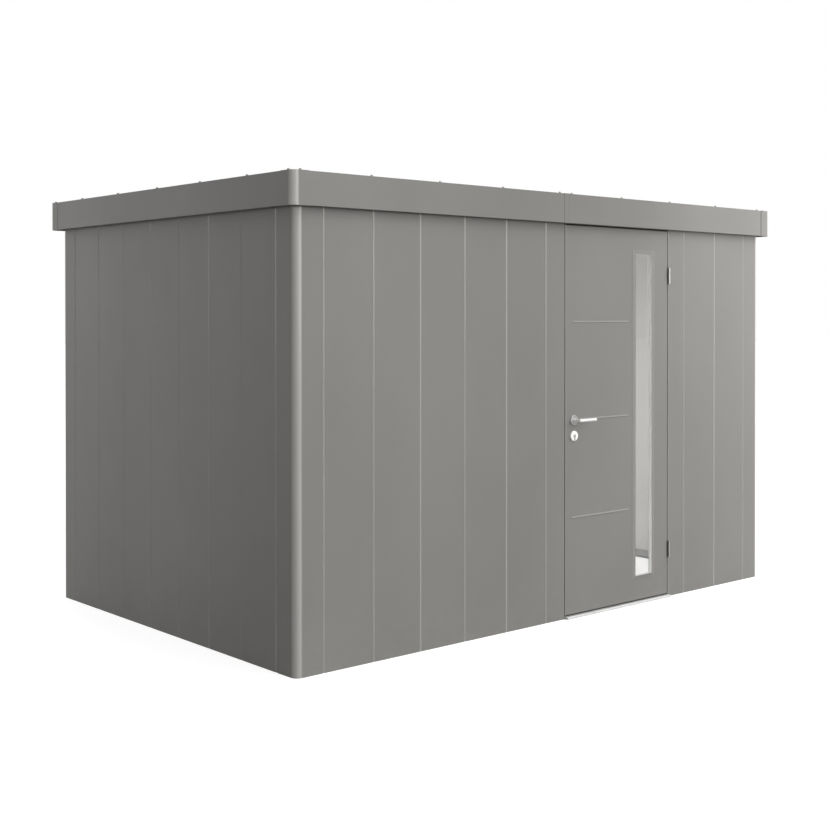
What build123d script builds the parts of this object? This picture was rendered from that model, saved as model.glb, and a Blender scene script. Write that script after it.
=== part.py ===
from build123d import *
import math
import os

os.makedirs("parts", exist_ok=True)

# Wall grid
module = 560.0
front_panel_count = 2
back_panel_count = 5
side_panel_count = 3
door_module_share = 1.5
corner_leg_share = 0.25
half_panel_share = 0.5
corner_margin = 10.0
corner_radius = 35.0

# Heights and roof edge
total_height = 2205.0
fascia_height = 150.0
eaves_overhang = 50.0
wall_behind_fascia = 35.0

# Sheet metal
sheet = 1.5
rail_sheet = 2.5
cover_sheet = 1.0
joint_gap = 1.0
fit_gap = 0.5

# Wall panels
joint_bevel = 5.0
bead_half_width = 4.5
bead_depth = 3.5
flange_depth = 30.0
flange_lip = 14.0
skin_gap = 0.5

# Floor frame and sill
floor_rail_height = 40.0
floor_rail_width = 45.0
sill_top = 12.0
sill_proud = 20.0
sill_chamfer = 4.0
sill_lip_height = 20.0
sill_lip_thickness = 4.0

# Roof
trough_margin = 10.0
roof_drop = 53.0
roof_fall = 35.0
roof_corner_gap = 3.0
pan_rib_width = 40.0
pan_rib_crest = 22.0
pan_rib_height = 9.0
pan_count = 6
seam_height = 20.0
seam_cap_skirt = 12.0
gutter_drip = 25.0
purlin_height = 45.0
purlin_width = 40.0
purlin_shares = (-0.17, 0.17)
outlet_radius = 14.0
outlet_wall = 2.0
outlet_length = 55.0
outlet_from_corner = 240.0

# Fascia
fascia_cap_width = 28.0
fascia_cap_lip = 12.0
fascia_foot_width = 16.0
fascia_foot_lip = 9.0
fascia_corner_leg = 90.0
front_joint_x = -38.0
joint_cover_width = 36.0
cover_grip = 12.0

# Door frame
stop_reach = 18.0
stop_depth = 16.0
stop_clearance = 6.0
reveal_bevel = 3.0

# Door leaf
door_thickness = 40.0
door_side_gap = 6.0
door_head_gap = 5.5
door_foot_gap = 5.5
leaf_lip = 16.0
leaf_bevel = 3.0
rib_width = 10.0
rib_height = 4.5
rib_taper = 35.0
rib_start = 44.0
rib_window_gap = 31.0
rib_heights = (523.0, 1035.0, 1545.0)

# Window in the door
window_stile = 141.0
window_width = 136.0
window_foot = 134.5
window_head = 133.5
trim_border = 24.0
trim_edge = 1.0
trim_proud = 4.0
trim_crest = 4.0
sleeve_wall = 2.5
inside_splay = 34.0
glass_setback = 13.0
glass_thickness = 4.0
glass_bite = 7.0

# Hinges
hinge_height = 88.0
hinge_from_foot = 250.5
hinge_from_head = 250.0
barrel_radius = 6.0
barrel_from_edge = 2.0
barrel_clearance = 1.0
pin_radius = 3.0
pin_clearance = 0.4
strap_thickness = 2.0
strap_depth = 34.0
strap_tab = 4.0
knuckle_gap = 0.6
knuckle_share = 1.0 / 3.0

# Lever and lock
lever_backset = 60.0
lever_height = 1032.0
lever_radius = 8.5
lever_stand = 48.0
lever_reach = 122.0
lever_end_chamfer = 2.0
lever_play = 0.08
skin_hole_play = 2.0
lever_start = 1.0
spindle_width = 8.0
spindle_fit = 0.1
spindle_socket = 22.0
rose_radius = 26.5
rose_thickness = 8.0
rose_chamfer = 2.0
lock_drop = 82.0
cylinder_radius = 8.5
cylinder_neck = 10.0
cylinder_height = 33.0
cylinder_proud = 2.5
key_slot_width = 2.0
key_slot_height = 9.0
key_slot_depth = 5.0
lock_plate_width = 20.0
lock_plate_height = 235.0
lock_plate_round = 4.0
lock_flange = 4.0
lock_flange_thickness = 2.0
latch_width = 12.0
latch_height = 26.0
bolt_width = 10.0
bolt_height = 38.0
latch_play = 0.5
strike_margin = 2.0

# Sizes that follow from the driving ones
corner_leg = corner_leg_share * module + corner_margin
half_panel = half_panel_share * module
post_width = corner_leg_share * module
wall_length = back_panel_count * module + half_panel + 2 * corner_leg
wall_width = side_panel_count * module + half_panel + 2 * corner_leg
roof_length = wall_length + 2 * eaves_overhang
roof_width = wall_width + 2 * eaves_overhang
fascia_bottom = total_height - fascia_height
wall_top = fascia_bottom + wall_behind_fascia
roof_high = total_height - roof_drop
doorway_start = corner_leg + half_panel + front_panel_count * module + post_width
doorway_width = door_module_share * module
doorway_left = doorway_start - wall_length / 2
doorway_right = doorway_left + doorway_width
front_face = -wall_width / 2
half_gap = joint_gap / 2
rail_face = joint_bevel + 2 * sheet
trough_inner = eaves_overhang + flange_depth + trough_margin
stop_face = door_thickness + stop_clearance
stop_back = stop_face + stop_depth
low_edge = (Align.MIN, Align.MIN)

# Wall planes: x runs along the wall, y points into the room, z is up
corner_spots = {
    "front": ((-1, -1), (1, 0, 0)),
    "right": ((1, -1), (0, 1, 0)),
    "back": ((1, 1), (-1, 0, 0)),
    "left": ((-1, 1), (0, -1, 0)),
}
wall = {
    side: Plane(origin=(sx * wall_length / 2, sy * wall_width / 2, 0), x_dir=run, z_dir=(0, 0, 1))
    for side, ((sx, sy), run) in corner_spots.items()
}
eaves = {
    side: Plane(origin=(sx * roof_length / 2, sy * roof_width / 2, 0), x_dir=run, z_dir=(0, 0, 1))
    for side, ((sx, sy), run) in corner_spots.items()
}
door_face = Plane(origin=(0, front_face, 0), x_dir=(1, 0, 0), z_dir=(0, -1, 0))


def section_plane(side_plane, start):
    """Upright plane across a wall: x points into the room, y is up, z runs along the wall."""
    spot = side_plane.origin + side_plane.x_dir * start
    return Plane(origin=spot, x_dir=side_plane.y_dir, z_dir=side_plane.x_dir)


def roof_under(depth):
    """Height of the roof underside at a distance behind the middle of the shed."""
    return roof_high - roof_fall * (depth + roof_width / 2) / roof_width


def folded(plane, points, side, length, thickness):
    """Sheet folded along the given outline and run along the plane's normal."""
    with BuildPart() as piece:
        with BuildSketch(plane):
            with BuildLine():
                Polyline(*points)
                offset(amount=thickness, side=side, kind=Kind.INTERSECTION)
            make_face()
        extrude(amount=length)
    return piece.part


def joint_edge(start):
    """Flange, lip and bevel of a panel edge that starts a panel."""
    edge = start + half_gap
    return [
        (edge + flange_lip, flange_depth),
        (edge, flange_depth),
        (edge, joint_bevel),
        (edge + joint_bevel, 0),
    ]


def mirrored(points, middle):
    """The same outline seen the other way round, in walking order."""
    return [(2 * middle - x, y) for x, y in reversed(points)]


def wall_skin(side_plane, points, notches):
    """Upright wall sheet with its flanges cut off above the floor rail."""
    with BuildPart() as skin:
        with BuildSketch(side_plane.offset(skin_gap)):
            with BuildLine():
                Polyline(*points)
                offset(amount=sheet, side=Side.LEFT, kind=Kind.INTERSECTION)
            make_face()
        extrude(amount=wall_top - skin_gap)
        with BuildSketch(side_plane):
            for notch in notches:
                with Locations((notch, rail_face)):
                    Rectangle(flange_lip + joint_gap, flange_depth, align=low_edge)
        extrude(amount=floor_rail_height, mode=Mode.SUBTRACT)
    return skin.part


def wall_panel(side_plane, start, width, beaded):
    """Flat wall panel with bevelled edges and, on a full panel, a pressed bead."""
    end = start + width
    middle = start + width / 2
    bead = [(middle - bead_half_width, 0), (middle, bead_depth), (middle + bead_half_width, 0)]
    first = joint_edge(start)
    last = mirrored(first, middle)
    points = first + (bead if beaded else []) + last
    return wall_skin(side_plane, points, (start, end - flange_lip - joint_gap))


def panel_run(side_plane, start, full_panels, half_first):
    """Row of panels from a starting point, with one half panel at one end."""
    widths = [module] * full_panels
    widths = [half_panel] + widths if half_first else widths + [half_panel]
    panels = []
    for width in widths:
        panels.append(wall_panel(side_plane, start, width, width == module))
        start = start + width
    return panels


def corner_panel(side_plane):
    """Rounded corner panel with two equal legs, made of one bent sheet."""
    edge = corner_leg - half_gap
    notch = corner_leg - flange_lip - joint_gap
    with BuildPart() as panel:
        with BuildSketch(side_plane.offset(skin_gap)):
            with BuildLine():
                Polyline(
                    (edge - flange_lip, flange_depth),
                    (edge, flange_depth),
                    (edge, joint_bevel),
                    (edge - joint_bevel, 0),
                    (corner_radius, 0),
                )
                RadiusArc((corner_radius, 0), (0, corner_radius), corner_radius)
                Polyline(
                    (0, corner_radius),
                    (0, edge - joint_bevel),
                    (joint_bevel, edge),
                    (flange_depth, edge),
                    (flange_depth, edge - flange_lip),
                )
                offset(amount=sheet, side=Side.RIGHT, kind=Kind.INTERSECTION)
            make_face()
        extrude(amount=wall_top - skin_gap)
        with BuildSketch(side_plane):
            with Locations((notch, rail_face)):
                Rectangle(flange_lip + joint_gap, flange_depth, align=low_edge)
            with Locations((rail_face, notch)):
                Rectangle(flange_depth, flange_lip + joint_gap, align=low_edge)
        extrude(amount=floor_rail_height, mode=Mode.SUBTRACT)
    return panel.part


def floor_rail(side_plane, start, end):
    """Length of floor channel, open to the room."""
    points = [
        (rail_face + floor_rail_width, floor_rail_height),
        (rail_face, floor_rail_height),
        (rail_face, 0),
        (rail_face + floor_rail_width, 0),
    ]
    return folded(section_plane(side_plane, start), points, Side.LEFT, end - start, rail_sheet)


def fascia_outline():
    """Outline of the fascia sheet: foot lip, foot, face, cap and cap lip."""
    return [
        (fascia_foot_width, fascia_bottom + fascia_foot_lip),
        (fascia_foot_width, fascia_bottom),
        (0, fascia_bottom),
        (0, total_height),
        (fascia_cap_width, total_height),
        (fascia_cap_width, total_height - fascia_cap_lip),
    ]


def fascia_run(side, start, end):
    """Straight length of fascia between two points along one side."""
    plane = section_plane(eaves[side], start + half_gap)
    return folded(plane, fascia_outline(), Side.RIGHT, end - start - joint_gap, sheet)


def cover_outline():
    """Outline of a cover strap: over the cap, down the face and under the foot."""
    return [
        (fascia_cap_width, total_height),
        (0, total_height),
        (0, fascia_bottom),
        (cover_grip, fascia_bottom),
    ]


def fascia_corner(side):
    """Corner cover: the strap section swept round the rounded corner over both fascia ends."""
    with BuildPart() as corner:
        with BuildLine(eaves[side].offset(fascia_bottom)) as path:
            Line((fascia_corner_leg, 0), (corner_radius, 0))
            RadiusArc((corner_radius, 0), (0, corner_radius), corner_radius)
            Line((0, corner_radius), (0, fascia_corner_leg))
        with BuildSketch(section_plane(eaves[side], fascia_corner_leg)):
            with BuildLine():
                Polyline(*cover_outline())
                offset(amount=cover_sheet, side=Side.RIGHT, kind=Kind.INTERSECTION)
            make_face()
        sweep(path=path.wire())
    return corner.part


def joint_cover(side, middle):
    """Strap that wraps cap, face and foot of the fascia over a joint."""
    plane = section_plane(eaves[side], middle - joint_cover_width / 2)
    return folded(plane, cover_outline(), Side.RIGHT, joint_cover_width, cover_sheet)


# Floor frame: five lengths of channel, open at the doorway
rail_inset = rail_face + floor_rail_width + joint_gap
post_inside = sheet + fit_gap
floor_rails = [
    floor_rail(wall["front"], corner_radius, doorway_start - post_inside),
    floor_rail(
        wall["front"], doorway_start + doorway_width + post_inside, wall_length - corner_radius
    ),
    floor_rail(wall["right"], rail_inset, wall_width - rail_inset),
    floor_rail(wall["back"], corner_radius, wall_length - corner_radius),
    floor_rail(wall["left"], rail_inset, wall_width - rail_inset),
]
with BuildPart() as floor_frame:
    add(floor_rails)

# Sill: low threshold with a stop lip behind the door foot
sill_back = stop_face + sill_lip_thickness
with BuildPart() as door_sill:
    with BuildSketch(Plane.XY):
        with Locations((doorway_left + fit_gap, front_face - sill_proud)):
            Rectangle(doorway_width - joint_gap, sill_proud + stop_face - fit_gap, align=low_edge)
        with Locations((doorway_left + stop_reach + fit_gap, front_face)):
            Rectangle(doorway_width - 2 * stop_reach - joint_gap, sill_back, align=low_edge)
    extrude(amount=sill_top)
    with BuildSketch(Plane.XY.offset(sill_top)):
        with Locations((doorway_left + stop_reach + fit_gap, front_face + stop_face)):
            Rectangle(
                doorway_width - 2 * stop_reach - joint_gap, sill_lip_thickness, align=low_edge
            )
    extrude(amount=sill_lip_height)
    chamfer(door_sill.edges().filter_by(Axis.X).group_by(Axis.Y)[0].sort_by(Axis.Z)[-1], sill_chamfer)

# Rounded corner panels
corner_panel_front_left = corner_panel(wall["front"])
corner_panel_front_right = corner_panel(wall["right"])
corner_panel_back_right = corner_panel(wall["back"])
corner_panel_back_left = corner_panel(wall["left"])

# Front wall: panels left of the door, one panel right of it
front_left_run = panel_run(wall["front"], corner_leg, front_panel_count, True)
front_right_start = doorway_start + doorway_width + post_width
front_panel_right = wall_panel(wall["front"], front_right_start, module, True)

# Side and back walls
right_run = panel_run(wall["right"], corner_leg, side_panel_count, False)
left_run = panel_run(wall["left"], corner_leg, side_panel_count, True)
back_run = panel_run(wall["back"], corner_leg, back_panel_count, False)
with BuildPart() as right_wall_panels:
    add(right_run)
with BuildPart() as left_wall_panels:
    add(left_run)
with BuildPart() as back_wall_panels:
    add(back_run)

# Door posts: face, reveal and stop folded from one sheet
post_start = doorway_start - post_width
post_outline = joint_edge(post_start) + [
    (doorway_start - reveal_bevel, 0),
    (doorway_start, reveal_bevel),
    (doorway_start, stop_face),
    (doorway_start + stop_reach, stop_face),
    (doorway_start + stop_reach, stop_back),
    (doorway_start - flange_lip, stop_back),
]
lock_post_sheet = wall_skin(wall["front"], post_outline, (post_start,))
lock_middle = (front_face + door_thickness / 2, lever_height - lock_drop / 2)
with BuildPart() as door_post_lock:
    add(lock_post_sheet)
    with BuildSketch(Plane(origin=(doorway_left, *lock_middle), x_dir=(0, 1, 0), z_dir=(1, 0, 0))):
        with Locations((0, lock_drop / 2)):
            Rectangle(latch_width + 2 * strike_margin, latch_height + 2 * strike_margin)
        with Locations((0, -lock_drop / 2)):
            Rectangle(bolt_width + 2 * strike_margin, bolt_height + 2 * strike_margin)
    extrude(amount=-sheet, mode=Mode.SUBTRACT)
doorway_middle = doorway_start + doorway_width / 2
hinge_post_outline = mirrored(post_outline, doorway_middle)
hinge_notch = front_right_start - flange_lip - joint_gap
door_post_hinge = wall_skin(wall["front"], hinge_post_outline, (hinge_notch,))

# Head over the doorway: face, soffit and stop
head_stop_foot = fascia_bottom - stop_reach
with BuildPart() as door_head:
    with BuildSketch(section_plane(wall["front"], doorway_start + fit_gap)):
        with BuildLine():
            Polyline((0, wall_top), (0, fascia_bottom), (stop_face - fit_gap, fascia_bottom))
            offset(amount=sheet, side=Side.LEFT, kind=Kind.INTERSECTION)
        make_face()
    extrude(amount=doorway_width - joint_gap)
    with BuildSketch(section_plane(wall["front"], doorway_start + stop_reach + fit_gap)):
        with BuildLine():
            Polyline(
                (stop_face - joint_bevel, fascia_bottom),
                (stop_face, fascia_bottom),
                (stop_face, head_stop_foot),
                (stop_back, head_stop_foot),
                (stop_back, wall_top),
            )
            offset(amount=sheet, side=Side.LEFT, kind=Kind.INTERSECTION)
        make_face()
    extrude(amount=doorway_width - 2 * stop_reach - joint_gap)

# Roof edge rails: troughs with a tall outer web and a seat for the roof sheets
rail_top = total_height - sheet
inner_web = trough_inner - rail_sheet


def trough(side, seat, ends_closed):
    """Trough rail along the front or the back, from corner rounding to corner rounding."""
    run = roof_length - 2 * corner_radius
    with BuildPart() as rail:
        with BuildSketch(section_plane(eaves[side], corner_radius)):
            with Locations((sheet, wall_top)):
                Rectangle(trough_inner - sheet, rail_sheet, align=low_edge)
                Rectangle(rail_sheet, rail_top - wall_top, align=low_edge)
            with Locations((inner_web, wall_top)):
                Rectangle(rail_sheet, seat - wall_top, align=low_edge)
        extrude(amount=run)
        if ends_closed:
            for end in (corner_radius, roof_length - corner_radius - rail_sheet):
                with BuildSketch(section_plane(eaves[side], end)):
                    with Locations((sheet, wall_top)):
                        Rectangle(trough_inner - sheet, end_height, align=low_edge)
                extrude(amount=rail_sheet)
            with BuildSketch(eaves[side].offset(wall_top)):
                with Locations((outlet_from_corner, outlet_middle)):
                    Circle(outlet_radius + outlet_wall)
            extrude(amount=-outlet_length)
            with BuildSketch(eaves[side].offset(wall_top + rail_sheet)):
                with Locations((outlet_from_corner, outlet_middle)):
                    Circle(outlet_radius)
            extrude(amount=-outlet_length - rail_sheet, mode=Mode.SUBTRACT)
    return rail.part


def side_rail(side, back_first):
    """Trough rail along one side, its inner web cut to the fall of the roof."""
    start = trough_inner + joint_gap
    run = roof_width - 2 * start
    sense = -1 if back_first else 1
    first_depth = sense * (start - roof_width / 2)
    last_depth = first_depth + sense * run
    inward = eaves[side].y_dir
    web_spot = eaves[side].origin + eaves[side].x_dir * start + inward * trough_inner
    with BuildPart() as rail:
        with BuildSketch(section_plane(eaves[side], start)):
            with Locations((sheet, wall_top)):
                Rectangle(trough_inner - sheet, rail_sheet, align=low_edge)
                Rectangle(rail_sheet, rail_top - wall_top, align=low_edge)
        extrude(amount=run)
        with BuildSketch(Plane(origin=web_spot, x_dir=eaves[side].x_dir, z_dir=-inward)):
            with BuildLine():
                Polyline(
                    (0, wall_top),
                    (run, wall_top),
                    (run, roof_under(last_depth)),
                    (0, roof_under(first_depth)),
                    close=True,
                )
            make_face()
        extrude(amount=rail_sheet)
    return rail.part


outlet_middle = (fascia_foot_width + eaves_overhang) / 2
roof_back_depth = roof_width / 2 - trough_inner + gutter_drip
end_height = roof_under(roof_back_depth) - wall_top - fit_gap
front_web_depth = trough_inner - roof_width / 2
back_web_depth = roof_width / 2 - inner_web
top_rail_front = trough("front", roof_under(front_web_depth), False)
rear_gutter = trough("back", roof_under(back_web_depth), True)
top_rail_right = side_rail("right", False)
top_rail_left = side_rail("left", True)

# Purlins under the roof sheets
purlin_run = roof_length - 2 * trough_inner
purlin_pieces = []
for share in purlin_shares:
    purlin_depth = share * roof_width
    purlin_top = roof_under(purlin_depth + purlin_width)
    purlin_spot = (-purlin_run / 2, purlin_depth, purlin_top - purlin_height)
    purlin_plane = Plane(origin=purlin_spot, x_dir=(0, 1, 0), z_dir=(1, 0, 0))
    purlin_points = [
        (purlin_width, purlin_height),
        (0, purlin_height),
        (0, 0),
        (purlin_width, 0),
    ]
    purlin_pieces.append(folded(purlin_plane, purlin_points, Side.LEFT, purlin_run, rail_sheet))
with BuildPart() as roof_purlins:
    add(purlin_pieces)

# Roof sheets with upturned edges, and caps over the seams
roof_edge = corner_radius * (1 - math.sqrt(0.5)) + sheet + roof_corner_gap
roof_pitch = math.atan2(roof_fall, roof_width)
roof_front_depth = roof_edge - roof_width / 2
roof_run = (roof_back_depth - roof_front_depth) / math.cos(roof_pitch)
roof_inside = roof_length - 2 * roof_edge
pan_pitch = roof_inside / pan_count
slope_up = (0, -math.cos(roof_pitch), math.sin(roof_pitch))


def roof_plane(start):
    """Plane across the low end of the roof: y stands off the roof, z climbs to the front."""
    spot = (start, roof_back_depth, roof_under(roof_back_depth))
    return Plane(origin=spot, x_dir=(1, 0, 0), z_dir=slope_up)


pan_width = pan_pitch - joint_gap
pan_middle = pan_width / 2
pan_outline = [
    (0, seam_height),
    (0, 0),
    (pan_middle - pan_rib_width / 2, 0),
    (pan_middle - pan_rib_crest / 2, pan_rib_height),
    (pan_middle + pan_rib_crest / 2, pan_rib_height),
    (pan_middle + pan_rib_width / 2, 0),
    (pan_width, 0),
    (pan_width, seam_height),
]
cap_half = half_gap + 2 * sheet + fit_gap
cap_outline = [
    (-cap_half, seam_height - seam_cap_skirt),
    (-cap_half, seam_height + sheet),
    (cap_half, seam_height + sheet),
    (cap_half, seam_height - seam_cap_skirt),
]
pans = []
seam_caps = []
for index in range(pan_count):
    pan_start = index * pan_pitch - roof_inside / 2
    pans.append(folded(roof_plane(pan_start + half_gap), pan_outline, Side.LEFT, roof_run, sheet))
    if index > 0:
        seam_caps.append(folded(roof_plane(pan_start), cap_outline, Side.RIGHT, roof_run, sheet))
with BuildPart() as roof_sheets:
    add(pans)
with BuildPart() as roof_seam_caps:
    add(seam_caps)

# Fascia: runs, swept corner covers and joint covers
front_joint = roof_length / 2 + front_joint_x
run_end = roof_length - corner_radius
fascia_front_left = fascia_run("front", corner_radius, front_joint)
fascia_front_right = fascia_run("front", front_joint, run_end)
fascia_right = fascia_run("right", corner_radius, roof_width - corner_radius)
fascia_left = fascia_run("left", corner_radius, roof_width - corner_radius)
back_runs = [
    fascia_run("back", corner_radius, roof_length / 2),
    fascia_run("back", roof_length / 2, run_end),
]
with BuildPart() as fascia_back:
    add(back_runs)
corner_pieces = [fascia_corner(side) for side in corner_spots]
with BuildPart() as fascia_corners:
    add(corner_pieces)
cover_pieces = [joint_cover("front", front_joint), joint_cover("back", roof_length / 2)]
with BuildPart() as fascia_joint_covers:
    add(cover_pieces)

# Door leaf
leaf_left = doorway_left + door_side_gap
leaf_right = doorway_right - door_side_gap
leaf_width = leaf_right - leaf_left
leaf_foot = sill_top + door_foot_gap
leaf_head = fascia_bottom - door_head_gap
leaf_height = leaf_head - leaf_foot
leaf_middle = ((leaf_left + leaf_right) / 2, (leaf_foot + leaf_head) / 2)
shell_depth = door_thickness - sheet
window_height = leaf_height - window_foot - window_head
window_start = leaf_width - window_stile - window_width
rib_end = window_start - trim_border - rib_window_gap
window_middle = (
    leaf_left + window_start + window_width / 2,
    leaf_foot + window_foot + window_height / 2,
)
sleeve_width = window_width + 2 * sleeve_wall
sleeve_height = window_height + 2 * sleeve_wall
splay_width = sleeve_width + 2 * inside_splay
splay_height = sleeve_height + 2 * inside_splay
lever_spot = (leaf_left + lever_backset, lever_height)
lock_spot = (leaf_left + lever_backset, lever_height - lock_drop)
lock_edge = Plane(origin=(leaf_left, *lock_middle), x_dir=(0, -1, 0), z_dir=(-1, 0, 0))


def cylinder_outline(grow):
    """Outline of the lock cylinder: a round plug over a narrow rounded neck."""
    neck = cylinder_neck / 2 + grow
    drop = cylinder_height - cylinder_radius - cylinder_neck / 2
    with BuildSketch() as outline:
        Circle(cylinder_radius + grow)
        with Locations((0, -drop / 2)):
            Rectangle(2 * neck, drop)
        with Locations((0, -drop)):
            Circle(neck)
    return outline.sketch.moved(Location((lock_spot[0], lock_spot[1])))


with BuildPart() as door_outer_skin:
    with BuildSketch(door_face.offset(-shell_depth)):
        with Locations(leaf_middle):
            Rectangle(leaf_width, leaf_height)
    extrude(amount=shell_depth)
    chamfer(door_outer_skin.faces().sort_by(Axis.Y)[0].edges(), leaf_bevel)
    offset(amount=-sheet, openings=door_outer_skin.faces().sort_by(Axis.Y)[-1])
    with BuildSketch(door_face.offset(-shell_depth)):
        with Locations(leaf_middle):
            Rectangle(leaf_width, leaf_height)
            Rectangle(leaf_width - 2 * leaf_lip, leaf_height - 2 * leaf_lip, mode=Mode.SUBTRACT)
    extrude(amount=sheet)
    with BuildSketch(door_face):
        for rib in rib_heights:
            beside_rose = abs(rib - lever_height) < rose_radius + rib_width
            rib_first = lever_backset + rose_radius + rib_width if beside_rose else rib_start
            with Locations((leaf_left + (rib_first + rib_end) / 2, rib)):
                SlotOverall(rib_end - rib_first, rib_width)
    extrude(amount=rib_height, taper=rib_taper)
    with BuildSketch(door_face):
        with Locations(window_middle):
            Rectangle(sleeve_width + joint_gap, sleeve_height + joint_gap)
        with Locations(lever_spot):
            Circle(lever_radius + skin_hole_play)
        add(cylinder_outline(fit_gap))
    extrude(amount=-sheet, mode=Mode.SUBTRACT)
    with BuildSketch(lock_edge):
        RectangleRounded(lock_plate_width + fit_gap, lock_plate_height + fit_gap, lock_plate_round)
    extrude(amount=-sheet, mode=Mode.SUBTRACT)

# Lock face: plate flush in the lock edge, held from behind, with latch and bolt drawn in
with BuildPart() as lock_face:
    with BuildSketch(lock_edge):
        RectangleRounded(lock_plate_width, lock_plate_height, lock_plate_round)
        with Locations((0, lock_drop / 2)):
            Rectangle(latch_width, latch_height, mode=Mode.SUBTRACT)
        with Locations((0, -lock_drop / 2)):
            Rectangle(bolt_width, bolt_height, mode=Mode.SUBTRACT)
    extrude(amount=-sheet)
    with BuildSketch(lock_edge.offset(-sheet)):
        Rectangle(lock_plate_width + 2 * lock_flange, lock_plate_height + 2 * lock_flange)
    extrude(amount=-lock_flange_thickness)
    with BuildSketch(lock_edge.offset(-sheet)):
        with Locations((0, lock_drop / 2)):
            Rectangle(latch_width - 2 * latch_play, latch_height - 2 * latch_play)
        with Locations((0, -lock_drop / 2)):
            Rectangle(bolt_width - 2 * latch_play, bolt_height - 2 * latch_play)
    extrude(amount=sheet)

with BuildPart() as door_inner_skin:
    with BuildSketch(door_face.offset(-door_thickness)):
        with Locations(leaf_middle):
            Rectangle(leaf_width, leaf_height)
        with Locations(window_middle):
            Rectangle(splay_width + joint_gap, splay_height + joint_gap, mode=Mode.SUBTRACT)
        with Locations(lever_spot):
            Circle(lever_radius + skin_hole_play, mode=Mode.SUBTRACT)
        add(cylinder_outline(fit_gap), mode=Mode.SUBTRACT)
    extrude(amount=sheet)


def window_trim(face, sense, sleeve_run, splay):
    """Border that rises towards the opening, with a sleeve that reaches in to the pane."""
    edge = face.offset(sense * trim_edge)
    crest = face.offset(sense * trim_proud)
    seat = face.offset(-sense * sleeve_run)
    border = splay + trim_border
    steps = (
        (((face, border), (edge, border)), Mode.ADD),
        (((edge, border), (crest, splay + trim_crest)), Mode.ADD),
        (((seat, sleeve_wall), (crest, splay + sleeve_wall)), Mode.ADD),
        (((seat, 0), (crest, splay)), Mode.SUBTRACT),
    )
    with BuildPart() as trim:
        for outlines, mode in steps:
            for plane, grow in outlines:
                with BuildSketch(plane):
                    with Locations(window_middle):
                        Rectangle(window_width + 2 * grow, window_height + 2 * grow)
            loft(mode=mode)
    return trim.part


glass_back = glass_setback + glass_thickness
window_trim_outer = window_trim(door_face, 1, glass_setback, 0)
window_trim_inner = window_trim(
    door_face.offset(-door_thickness), -1, door_thickness - glass_back, inside_splay
)
with BuildPart() as window_pane:
    with BuildSketch(door_face.offset(-glass_back)):
        with Locations(window_middle):
            Rectangle(window_width + 2 * glass_bite, window_height + 2 * glass_bite)
    extrude(amount=glass_thickness)

# Hinges: outer knuckles and pin on the frame, middle knuckle on the door
barrel_x = doorway_right + barrel_from_edge
barrel_y = front_face - barrel_radius - barrel_clearance
hinge_middles = (leaf_foot + hinge_from_foot, leaf_head - hinge_from_head)
knuckle = hinge_height * knuckle_share
outer_knuckle = knuckle - knuckle_gap
tab_start = (doorway_right - strap_thickness, barrel_y)
strap_start = (doorway_right - strap_thickness, front_face)


def frame_hinge(middle):
    """Frame half of a hinge with its pin."""
    foot = middle - hinge_height / 2
    with BuildPart() as half:
        with BuildSketch(Plane.XY.offset(foot)):
            with Locations((barrel_x, barrel_y)):
                Circle(pin_radius)
            with Locations(strap_start):
                Rectangle(strap_thickness, strap_depth, align=low_edge)
        extrude(amount=hinge_height)
        for level in (foot, foot + hinge_height - outer_knuckle):
            with BuildSketch(Plane.XY.offset(level)):
                with Locations((barrel_x, barrel_y)):
                    Circle(barrel_radius)
                with Locations(tab_start):
                    Rectangle(strap_thickness, front_face - barrel_y, align=low_edge)
            extrude(amount=outer_knuckle)
    return half.part


def door_hinge(middle):
    """Door half of a hinge, one middle knuckle on a strap."""
    foot = middle - hinge_height / 2
    with BuildPart() as half:
        with BuildSketch(Plane.XY.offset(foot)):
            with Locations((leaf_right, front_face)):
                Rectangle(strap_thickness, strap_depth, align=low_edge)
        extrude(amount=hinge_height)
        with BuildSketch(Plane.XY.offset(foot + knuckle)):
            with Locations((leaf_right, barrel_y - strap_tab / 2)):
                Rectangle(barrel_x - leaf_right, strap_tab, align=low_edge)
                Rectangle(strap_thickness, front_face - barrel_y + strap_tab / 2, align=low_edge)
            with Locations((barrel_x, barrel_y)):
                Circle(barrel_radius)
                Circle(pin_radius + pin_clearance, mode=Mode.SUBTRACT)
        extrude(amount=knuckle)
    return half.part


frame_halves = [frame_hinge(middle) for middle in hinge_middles]
door_halves = [door_hinge(middle) for middle in hinge_middles]
with BuildPart() as hinge_frame_halves:
    add(frame_halves)
with BuildPart() as hinge_door_halves:
    add(door_halves)

# Roses on both faces of the door
rose_bore = lever_radius + lever_play


def rose(face_depth, front, bored):
    """Round rose, bored for the lever neck or cut out for the lock cylinder."""
    with BuildPart() as disc:
        with BuildSketch(door_face.offset(-face_depth)):
            with Locations(lever_spot if bored else lock_spot):
                Circle(rose_radius)
        extrude(amount=rose_thickness)
        shown = disc.faces().sort_by(Axis.Y)[0 if front else -1]
        chamfer(shown.edges(), rose_chamfer)
        with BuildSketch(door_face.offset(-face_depth)):
            if bored:
                with Locations(lever_spot):
                    Circle(rose_bore)
            else:
                add(cylinder_outline(fit_gap / 2))
        extrude(amount=rose_thickness, mode=Mode.SUBTRACT)
    return disc.part


rose_pieces = [
    rose(depth, front, bored)
    for depth, front in ((0, True), (door_thickness + rose_thickness, False))
    for bored in (True, False)
]
with BuildPart() as door_roses:
    add(rose_pieces)

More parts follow.
